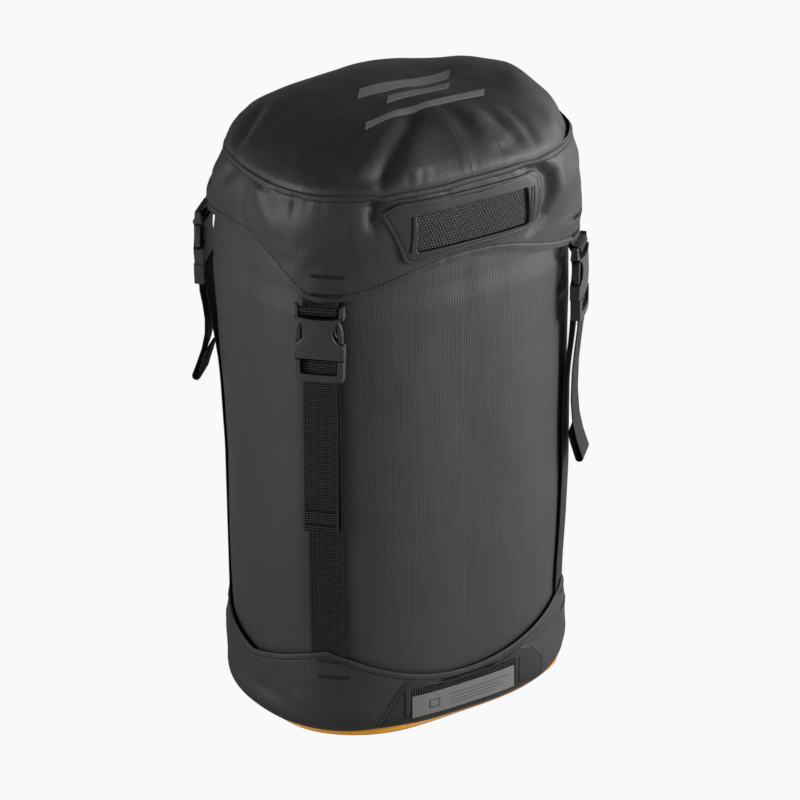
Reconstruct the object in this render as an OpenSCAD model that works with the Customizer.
// Roll-top compression sack: an oval fabric tube on a reinforced base, closed
// by a rolled and buckled collar, under a domed lid that four webbing straps
// pull down. Millimetres, +Z up, origin at the middle of the base, front
// (the side with the grab handles) towards -Y, left towards -X.

/* [Sack] */
// Half width of the fabric tube, along X
body_a = 120; // [110:1:126]
// Half depth of the fabric tube, along Y
body_b = 93; // [86:1:98]
// Squareness of the oval, 2 is an ellipse
oval_n = 2.7; // [2.3:0.1:3.2]
// Thickness of the fabric tube
wall_t = 2.5; // [1.5:0.5:3]
// Height of the rigid lower part of the tube
wall_top = 250; // [220:5:255]
// Height of the top of the collar, under the roll
collar_top = 404; // [400:1:404]

/* [Base] */
// Height of the base skirt in the middle of the front
skirt_mid = 41.5; // [41:0.5:44]
// Height of the base skirt in the middle of the sides
skirt_side = 51.5; // [48:0.5:56]
// Height of the base skirt at the straps
skirt_tab = 72.5; // [70:0.5:76]

/* [Lid] */
// Height of the seam between the lid's top and its band
ring_z = 424; // [422:1:426]
// Rise of the domed lid top above the seam
dome_h = 42; // [36:1:48]
// Height of the lid's hem in the middle of the front
hem_mid = 366.5; // [364:0.5:370]
// Height of the lid's hem in the middle of the sides
hem_side = 381; // [374:1:384]
// Height of the lid's hem at the straps
hem_tab = 347.5; // [347.5:0.5:350]

/* [Straps and buckles] */
// Width of the compression webbing
web_w = 25; // [22:0.5:25]
// Thickness of the compression webbing
web_t = 1.2; // [1:0.1:1.2]
// Half width of a buckle
buckle_hw = 18; // [17.9:0.1:18.5]
// Length of the loose strap end below a buckle
tail_len = 118; // [90:1:125]
// Extra distance of the right front and left back buckles from the tube
side_off = 8; // [0:0.5:9]
// Extra distance of the right back buckle from the tube
back_off = 4; // [0:0.5:9]
// How much higher the left back buckle is set
back_lift = 27; // [0:1:28]

/* [Handles] */
// Left end of the lid handle's window
win_l = -37; // [-40:1:-34]
// Right end of the lid handle's window
win_r = 50; // [46:1:52]
// Bottom of the lid handle's window
win_lo = 380; // [379:0.5:381]
// Top of the lid handle's window
win_hi = 409; // [407:0.5:410]

/* [Hidden] */

charcoal = "#3a3b3d";
dark = "#2b2c2e";
black = "#151516";
plastic = "#3c3d3f";
amber = "#e8a21c";
grey = "#86888b";

// ---- the four strap places ----
strap_x = 99.5;        // middle of a strap on the tube
strap_y = body_b * pow(1 - pow(strap_x / body_a, oval_n), 1 / oval_n);
// Angle of the tube's surface normal at a strap, from the Y axis
strap_ang = atan2(pow(strap_x / body_a, oval_n - 1) / body_a,
                  pow(strap_y / body_b, oval_n - 1) / body_b);
// Each corner is [side along X, side along Y, turn about Z, stand-off, lift]
front_left = [-1, -1, -strap_ang, 0, 0];
front_right = [1, -1, strap_ang, side_off, 0];
back_left = [-1, 1, strap_ang - 180, side_off, back_lift];
back_right = [1, 1, 180 - strap_ang, back_off, 0];
all_corners = [front_left, front_right, back_left, back_right];
function stand_off(c) = c[3];
function lift(c) = c[4];

// Puts a child, drawn with its outside towards -Y, on the tube at a corner
module corner(c) translate([c[0] * strap_x, c[1] * strap_y, 0]) rotate([0, 0, c[2]]) children();
// The same, moved out and raised with the corner's buckle
module hardware(c) corner(c) translate([0, -stand_off(c), lift(c)]) children();

// ---- shared shapes ----
// Lengths along an axis are [from, to] pairs. A layer is an [inner, outer] pair
// of offsets from the outside of the tube.
function sign_of(v) = v < 0 ? -1 : 1;
function oval_pts(offset, count = 80) = [for (i = [0 : count - 1]) let (t = 360 * (i + 0.5) / count)
    [(body_a + offset) * sign_of(cos(t)) * pow(abs(cos(t)), 2 / oval_n),
     (body_b + offset) * sign_of(sin(t)) * pow(abs(sin(t)), 2 / oval_n)]];
module oval(offset) polygon(oval_pts(offset));
module slab(offset, z) translate([0, 0, z[0]]) linear_extrude(z[1] - z[0]) oval(offset);
// An upright ring of fabric
module ring(layer, z) translate([0, 0, z[0]]) linear_extrude(z[1] - z[0]) difference() {
    oval(layer[1]);
    oval(layer[0]);
}
// Prism of an X-Z outline
module prism_y(pts, y)
    translate([0, y[1], 0]) rotate([90, 0, 0]) linear_extrude(y[1] - y[0]) polygon(pts);
// Prism of a Y-Z outline
module prism_x(pts, x)
    translate([x[0], 0, 0]) rotate([90, 0, 90]) linear_extrude(x[1] - x[0]) polygon(pts);
module box(x, y, z) translate([x[0], y[0], z[0]]) cube([x[1] - x[0], y[1] - y[0], z[1] - z[0]]);
// A box and its mirror image across X = 0
module side_boxes(x, y, z) for (s = [-1, 1]) box(s < 0 ? [-x[1], -x[0]] : x, y, z);
module rod_x(r, length) rotate([0, 90, 0]) cylinder(r = r, h = length, center = true, $fn = 48);
module tube_x(r_in, r_out, length) difference() {
    rod_x(r_out, length);
    rod_x(r_in, length + 2);
}

// Box that reaches through the front of the sack
module front_box(x, z = [0, 500]) box(x, [-130, -60], z);
// The parts of a ring within some spans of X on the front
module front_strip(layer, z, spans) intersection() {
    ring(layer, z);
    for (x = spans) front_box(x);
}
// The part of a ring within an X-Z outline on the front
module front_patch(layer, z, outline) intersection() {
    ring(layer, z);
    prism_y(outline, [-140, -40]);
}
// Column as wide as the webbing at a corner
module web_column(c) corner(c) box([-web_w / 2, web_w / 2], [-14, 14], [0, 500]);
// Bartacks across the straps; lifted is 1 where they follow the buckle's lift, else 0
module bartack_rows(layer, rows, lifted) color(black) intersection() {
    ring(layer, [rows[0] - 5, rows[1] + 5 + lifted * back_lift]);
    for (c = all_corners, row = rows) let (z = row + lifted * lift(c))
        corner(c) box([-12, 12], [-12, 12], [z - 1, z + 1]);
}

// Triangles between two rings of points that start at indices a and b
function skin(a, b, count) = [for (i = [0 : count - 1]) let (next = (i + 1) % count)
    each [[a + i, b + i, b + next], [a + i, b + next, a + next]]];
// Triangles between a ring of points and one tip point
function fan(a, tip, count) = [for (i = [0 : count - 1]) [a + i, tip, a + (i + 1) % count]];
// The same faces seen from the other side, their points moved on by shift
function flipped(faces, shift = 0) = [for (f = faces) [f[2] + shift, f[1] + shift, f[0] + shift]];
// Closed skin through ovals; the profile's columns are offset and height
module oval_loft(profile) {
    count = len(oval_pts(0));
    rings = len(profile);
    polyhedron(
        points = [for (row = profile) for (p = oval_pts(row[0])) [p[0], p[1], row[1]]],
        faces = [for (j = [0 : rings - 1]) each skin(j * count, (j + 1) % rings * count, count)],
        convexity = 6);
}

// ---- curved edges of the lid and the skirt ----
lifted_tab = hem_tab + back_lift;
function hem_across(x, tab = hem_tab) =
    hem_mid - (hem_mid - tab) * pow(sin(90 * pow(min(abs(x), 100) / 100, 1.25)), 2);
function hem_along(y, tab = hem_tab) =
    hem_side - (hem_side - tab) * pow(min(abs(y), strap_y) / strap_y, 1.8);
function skirt_across(x) =
    skirt_mid + (skirt_tab - skirt_mid) * pow(min(abs(x), 100) / 100, 1.9);
function skirt_along(y) =
    skirt_side + (skirt_tab - skirt_side) * pow(min(abs(y), strap_y) / strap_y, 1.2);

// Stations of the edges, and the blocks of space they are cut in
across_xs = [-102 : 12 : 102];
along_ys = [for (i = [-6 : 6]) strap_y * i / 6];
front_y = [-140, -strap_y];
back_y = [strap_y, 140];
left_x = [-150, -99];
right_x = [99, 150];

// Outline between an edge and a straight line at a level
function closed(edge, level) =
    concat([[edge[0][0], level]], edge, [[edge[len(edge) - 1][0], level]]);

// Everything below the hem, raised
module below_hem(raise = 0) {
    bottom = 300;
    prism_y(closed([for (x = across_xs) [x, hem_across(x) + raise]], bottom), front_y);
    prism_y(closed([for (x = across_xs)
        [x, hem_across(x, x < 0 ? lifted_tab : hem_tab) + raise]], bottom), back_y);
    prism_x(closed([for (y = along_ys)
        [y, hem_along(y, y > 0 ? lifted_tab : hem_tab) + raise]], bottom), left_x);
    prism_x(closed([for (y = along_ys) [y, hem_along(y) + raise]], bottom), right_x);
    for (c = all_corners) if (raise + lift(c) > 0)
        corner(c) box([-14, 14], [-20, 20], [bottom, hem_tab + lift(c) + raise]);
}
// Everything above the skirt's top edge
module above_skirt() {
    top = 90;
    for (y = [front_y, back_y])
        prism_y(closed([for (x = across_xs) [x, skirt_across(x)]], top), y);
    for (x = [left_x, right_x])
        prism_x(closed([for (y = along_ys) [y, skirt_along(y)]], top), x);
}

// ---- the sack ----
skirt_t = 1.4;
skirt_out = 3.6;       // offset of the skirt's outside
skirt_round_z = 16;    // top of the skirt's rounded foot
// Offset and height, up the outside and down the inside
skirt_profile = [
    [-3, 5], [0.5, 8], [2.8, 12], [skirt_out, skirt_round_z], [skirt_out, skirt_tab],
    [skirt_out - skirt_t, skirt_tab], [skirt_out - skirt_t, skirt_round_z],
    [1.4, 12], [-0.9, 8], [-4.4, 5]
];
// Base handle: X ends of its pocket and window, heights of window and webbing
base_pocket_x = [-58, 52];
base_win_x = [-47, 42];
base_win_z = [12.5, 36.5];
base_web_z = [base_win_z[0] + 0.5, base_win_z[1] - 0.5];
base_web_layer = [2.3, 3.5];
// X and Z of the patch, clockwise from its lower left; its top follows the skirt
base_patch_pts = concat([[-71, 14], [-71, 19], [-57, 35]],
    [for (x = [-52 : 13 : 52]) [x, skirt_across(x) - 4.2]],
    [[60, 38], [70, 24], [70, 14]]);

// Flat coated panel that the sack stands on
module base_panel() color(amber) {
    slab(-10, [0, 3.2]);
    slab(-5.2, [3, 6]);
}
// Reinforced skirt round the base, higher at the four straps
module base_skirt() color(charcoal) difference() {
    oval_loft(skirt_profile);
    above_skirt();
    front_box([base_pocket_x[0] - 0.2, base_pocket_x[1] + 0.2], base_win_z);
}
module body_wall() color(charcoal) ring([-wall_t, 0], [16, wall_top]);
module roll_top_collar() color(dark) ring([-wall_t, 0], [wall_top + 0.05, collar_top]);
// Tape inside the tube, up the middle of the back
module wall_seam_tape() color(grey) intersection() {
    ring([-wall_t - 0.8, -wall_t - 0.1], [17, wall_top - 1]);
    box([-11, 11], [60, 120], [0, 300]);
}
module base_seam_tape() color(grey) ring([-6.4, -5.4], [6.1, 13]);
module base_handle_patch() color(dark) difference() {
    front_patch([3.7, 4.6], [10, 60], base_patch_pts);
    front_box(base_win_x, base_win_z);
}
module base_handle_pocket() color(black) front_strip([0.5, 1.8], [16.2, 39], [base_pocket_x]);
// Webbing seen in the window
module base_handle_webbing() color(black)
    front_strip(base_web_layer, base_web_z, [[base_win_x[0] + 0.2, base_win_x[1] - 0.2]]);
// Webbing beyond the two ends of the window
module base_handle_anchors() color(black)
    front_strip(base_web_layer, base_web_z,
        [[base_pocket_x[0], base_win_x[0] - 0.1], [base_win_x[1] + 0.1, base_pocket_x[1]]]);
module base_label() color(grey)
    front_strip([3.55, 4], [13.2, 29], [[base_win_x[0] + 1, base_win_x[1] - 1]]);
module base_bartacks() bartack_rows([3.75, 4.3], [52, 66], 0);

// ---- side-release buckles, standing, outside towards -Y ----
bar_z = 342.5;         // socket's webbing bar
bar_y = -7;            // and its distance from the tube
bar_r = 2.2;
plug_z = 302;          // plug's middle bar
plug_y = -6.2;
plug_bar_r = 1.7;
plug_bar_len = 27.2;
mouth_z = 306;         // mouth of the socket
tail_z = 288.6;        // top of the loose strap end
closure_bar_z = 292.4; // webbing bar of the closure's plug
wrap_r = 1.8;          // inside radius of the strap's turn round the middle bar
// X and Z of the prong on the +X side: up its outer edge, down its inner one
prong_pts = [
    [9.4, 311.3], [12.2, 311.3], [14.7, 316.8], [15.3, 318.9], [16.7, 318.7], [17.1, 322],
    [16.9, 327], [16.0, 331.4], [14.4, 334.9], [12.7, 336.2],
    [11.6, 334.8], [12.9, 330], [13.2, 324], [12.1, 318]
];

// Socket: an hourglass box with an open mouth below and a webbing bar above
module socket() color(plastic) {
    difference() {
        box([-buckle_hw, buckle_hw], [-12.7, -3.2], [mouth_z, 338.2]);
        box([-15.8, 15.8], [-10.7, -5.2], [mouth_z - 1, 336.9]);
        for (s = [-1, 1]) translate([s * 20.8, 0, 327.5]) rotate([90, 0, 0])
            cylinder(r = 10.5, h = 40, center = true, $fn = 64);
    }
    side_boxes([14.2, buckle_hw], [-10.9, -3.6], [337.4, 346.4]);
    translate([0, bar_y, bar_z]) rod_x(bar_r, 2 * 14.4);
}
// Plug: a frame with a stem in the socket. With a ladder it has the front and
// middle bars that grip a strap, without one a single webbing bar.
module plug(ladder = true) color(plastic) {
    shoulder_y = [-10.4, -5.5];
    side_boxes([13.2, 17.6], [-12.3, -3.6], [289.6, 305.8]);
    side_boxes([13.2, 15.4], shoulder_y, [305, 311]);
    box([-15.4, 15.4], shoulder_y, [306.6, 311]);
    box([-2.5, 2.5], [-9.6, -6.3], [310.5, 331]);
    if (ladder) {
        box([-13.6, 13.6], [-12.3, -9.5], [290.2, 295.4]);
        translate([0, plug_y, plug_z]) rod_x(plug_bar_r, plug_bar_len);
    } else
        translate([0, bar_y, closure_bar_z]) rod_x(bar_r, plug_bar_len);
}
// Springy prong on the given side, -1 or 1
module prong(side) color(plastic)
    mirror([side < 0 ? 1 : 0, 0, 0]) prism_y(prong_pts, [-10.0, -5.9]);

// Strap from the skirt up to the plug, lying on the tube
module strap(c) color(black) intersection() {
    ring([0.25, 0.25 + web_t], [48, 297 + lift(c)]);
    web_column(c);
}
// The strap's turn round the plug's middle bar and behind its front bar
module strap_wrap() color(black) translate([0, plug_y, 0]) {
    half_w = web_w / 2;
    intersection() {
        translate([0, 0, plug_z]) tube_x(wrap_r, wrap_r + web_t, web_w);
        box([-20, 20], [-10, 10], [plug_z, plug_z + 10]);
    }
    box([-half_w, half_w], [-wrap_r - web_t, -wrap_r], [289.7, plug_z]);
    box([-half_w, half_w], [wrap_r, wrap_r + web_t], [296, plug_z]);
}
// Loose strap end with its tip folded and sewn
module strap_tail() color(black) translate([0, plug_y - wrap_r, 0]) {
    half_w = web_w / 2;
    tip_z = tail_z - tail_len;
    fold_len = 21;
    box([-half_w, half_w], [-web_t, 0], [tip_z, tail_z]);
    box([-half_w, half_w], [-2 * web_t, -web_t + 0.01], [tip_z, tip_z + fold_len]);
}
// Webbing under the lid's band and round the socket bars
module socket_loops() color(black) {
    for (c = all_corners) intersection() {
        ring([0.5, 2], [341 + lift(c), 385 + lift(c)]);
        web_column(c);
    }
    for (c = all_corners) hardware(c) {
        translate([0, bar_y, bar_z]) tube_x(2.4, 3.9, web_w);
        box([-web_w / 2, web_w / 2], [bar_y + 3, stand_off(c) - 1], [341.2, 343.8]);
    }
}

// ---- the roll-top closure ----
roll_z = collar_top + 8.7;   // middle of the roll
roll_hl = 98;                // half length along X
roll_hd = 15;                // half depth along Y
roll_hh = 8.5;               // half height
roll_pts = [for (i = [0 : 39]) let (t = 360 * i / 40)
    [roll_hd * sign_of(cos(t)) * pow(abs(cos(t)), 0.8),
     roll_z + roll_hh * sign_of(sin(t)) * pow(abs(sin(t)), 0.8)]];
closure_hw = 10;             // half width of the closure's webbing
closure_t = 1.2;             // and its thickness
closure_mid_z = 317;         // height in a standing buckle that comes to X = 0

// Fabric that closes the oval up to the roll
module roll_top_deck() color(dark) slab(-wall_t - 0.5, [collar_top - 2.5, collar_top - 0.5]);
module roll_top_roll() color(dark) difference() {
    prism_x(roll_pts, [-roll_hl, roll_hl]);
    box([-roll_hl - 1, roll_hl + 1], [-10.3, 10.3], [roll_z - 1.4, roll_z + 1.4]);
}
// Two strips that stiffen the lips of the roll
module stiffener_strips() color(black)
    for (z = [[-1.2, -0.1], [0.1, 1.2]])
        box([-roll_hl + 1, roll_hl - 1], [-10, 10], [roll_z + z[0], roll_z + z[1]]);
// Lays a standing buckle flat on top of the roll, its length along X
module on_roll() translate([-closure_mid_z, 0, roll_z + 5.6])
    rotate([0, 90, 0]) rotate([0, 0, -90]) children();
// Webbing round a bar of the closure's buckle, with the start of its run
module closure_loop(loop_z, run_z) on_roll() {
    translate([0, bar_y, loop_z]) tube_x(2.4, 3.7, 2 * closure_hw);
    box([-closure_hw, closure_hw], [bar_y + 2.9, bar_y + 3.7], run_z);
}
// Webbing along the top of the roll and down its two ends
module closure_webbing() color(black) {
    y = [-closure_hw, closure_hw];
    under = roll_z + 8.65;
    end_in = roll_hl + 0.4;
    end_out = end_in + closure_t;
    for (x = [[-end_out, -30], [31, end_out]]) box(x, y, [under, under + closure_t]);
    side_boxes([end_in, end_out], y, [roll_z - 4, under + 1]);
    closure_loop(bar_z, [bar_z, bar_z + 14]);
    closure_loop(closure_bar_z, [276, closure_bar_z]);
}
module closure_socket() on_roll() socket();
module closure_plug() on_roll() plug(ladder = false);
module closure_prong_a() on_roll() prong(-1);
module closure_prong_b() on_roll() prong(1);

// ---- the lid ----
band_in = 2.5;
band_out = 5;
lid_web_layer = [3, 4.4];
lid_web_z = [win_lo + 0.3, win_hi - 0.3];
lid_web_x = [-51, 58];       // outer ends of the handle's webbing
// X and Z of the patch, clockwise from its upper left but for the first rows,
// which run down its left side; its upper right corner is an arc
lid_patch_pts = concat(
    [[-65.5, 412.5], [-57, 389], [-46, 372.5], [60, 377.5], [65, 379.5], [66, 382], [64.5, 403]],
    [for (a = [10 : 20 : 90]) [55 + 9.3 * cos(a), 408.8 + 9.3 * sin(a)]],
    [[-53, 418.3]]);
// Dome's rings as fractions of the oval, from the rim to the crown
dome_rings = [1, 0.985, 0.95, 0.88, 0.76, 0.6, 0.42, 0.22, 0.03];
dome_count = 64;             // points in each ring

function dome(r) = dome_h * pow(1 - pow(r, 2.8), 1 / 1.5);
// Points of one face of the dome, its crown point last
function dome_pts(offset, rim_z) = concat(
    [for (r = dome_rings) for (p = oval_pts(offset, dome_count)) [p[0] * r, p[1] * r, rim_z + dome(r)]],
    [[0, 0, rim_z + dome(0)]]);

// Domed top: outer skin, inner skin and the rim that joins them
module lid_top_panel() color(charcoal) {
    last = len(dome_rings) - 1;
    crown = len(dome_rings) * dome_count;
    inner = crown + 1;
    outer_faces = concat(
        [for (j = [0 : last - 1]) each skin(j * dome_count, (j + 1) * dome_count, dome_count)],
        fan(last * dome_count, crown, dome_count));
    polyhedron(
        points = concat(dome_pts(band_out, ring_z + 2.1), dome_pts(3, ring_z + 0.1)),
        faces = concat(outer_faces, flipped(outer_faces, inner),
            flipped(skin(0, inner, dome_count))),
        convexity = 4);
}
module lid_side_band() color(charcoal) difference() {
    ring([band_in, band_out], [347, ring_z]);
    below_hem();
    front_box([lid_web_x[0] - 0.2, lid_web_x[1] + 0.2], [win_lo - 0.6, win_hi + 0.6]);
}
module lid_seam_welt() color(dark) ring([band_out + 0.1, 6], [ring_z - 6.5, ring_z - 0.3]);
// Tape inside the hem, left out at the straps
module lid_hem_tape() color(black) difference() {
    tape_w = 9;
    ring([1.5, 2.4], [347, hem_side + tape_w]);
    below_hem();
    // what lies above the tape
    difference() {
        ring([1, 3], [340, hem_side + 12]);
        below_hem(tape_w);
    }
    for (c = all_corners) corner(c) box([-13.2, 13.2], [-8, 8], [340, 400]);
}
module lid_handle_patch() color(dark) difference() {
    front_patch([band_out + 0.1, 6.2], [365, ring_z - 6.9], lid_patch_pts);
    front_box([win_l, win_r], [win_lo, win_hi]);
}
module lid_handle_pocket() color(black) front_strip([0.9, 2.3], [376.5, 414], [[-50, 58]]);
// Webbing seen in the window
module lid_handle_webbing() color(black)
    front_strip(lid_web_layer, lid_web_z, [[win_l + 0.2, win_r - 0.2]]);
// Webbing beyond the two ends of the window
module lid_handle_anchors() color(black)
    front_strip(lid_web_layer, lid_web_z,
        [[lid_web_x[0], win_l - 0.1], [win_r + 0.1, lid_web_x[1]]]);
module lid_bartacks() bartack_rows([5.05, 5.6], [355, 367], 1);

base_panel();
base_skirt();
body_wall();
roll_top_collar();
wall_seam_tape();
base_seam_tape();
base_handle_patch();
base_handle_pocket();
base_handle_webbing();
base_handle_anchors();
base_label();
base_bartacks();
roll_top_deck();
roll_top_roll();
stiffener_strips();
closure_webbing();
closure_socket();
closure_plug();
closure_prong_a();
closure_prong_b();
lid_top_panel();
lid_side_band();
lid_seam_welt();
lid_hem_tape();
lid_handle_patch();
lid_handle_pocket();
lid_handle_webbing();
lid_handle_anchors();
lid_bartacks();
socket_loops();
hardware(front_left) socket();  // buckle_socket_fl
hardware(front_right) socket();  // buckle_socket_fr
hardware(back_left) socket();  // buckle_socket_rl
hardware(back_right) socket();  // buckle_socket_rr
hardware(front_left) plug();  // buckle_plug_fl
hardware(front_right) plug();  // buckle_plug_fr
hardware(back_left) plug();  // buckle_plug_rl
hardware(back_right) plug();  // buckle_plug_rr
hardware(front_left) prong(-1);  // prong_fl_a
hardware(front_left) prong(1);  // prong_fl_b
hardware(front_right) prong(-1);  // prong_fr_a
hardware(front_right) prong(1);  // prong_fr_b
hardware(back_left) prong(-1);  // prong_rl_a
hardware(back_left) prong(1);  // prong_rl_b
hardware(back_right) prong(-1);  // prong_rr_a
hardware(back_right) prong(1);  // prong_rr_b
strap(front_left);  // strap_fl
strap(front_right);  // strap_fr
strap(back_left);  // strap_rl
strap(back_right);  // strap_rr
hardware(front_left) strap_wrap();  // strap_wrap_fl
hardware(front_right) strap_wrap();  // strap_wrap_fr
hardware(back_left) strap_wrap();  // strap_wrap_rl
hardware(back_right) strap_wrap();  // strap_wrap_rr
hardware(front_left) strap_tail();  // strap_tail_fl
hardware(front_right) strap_tail();  // strap_tail_fr
hardware(back_left) strap_tail();  // strap_tail_rl
hardware(back_right) strap_tail();  // strap_tail_rr
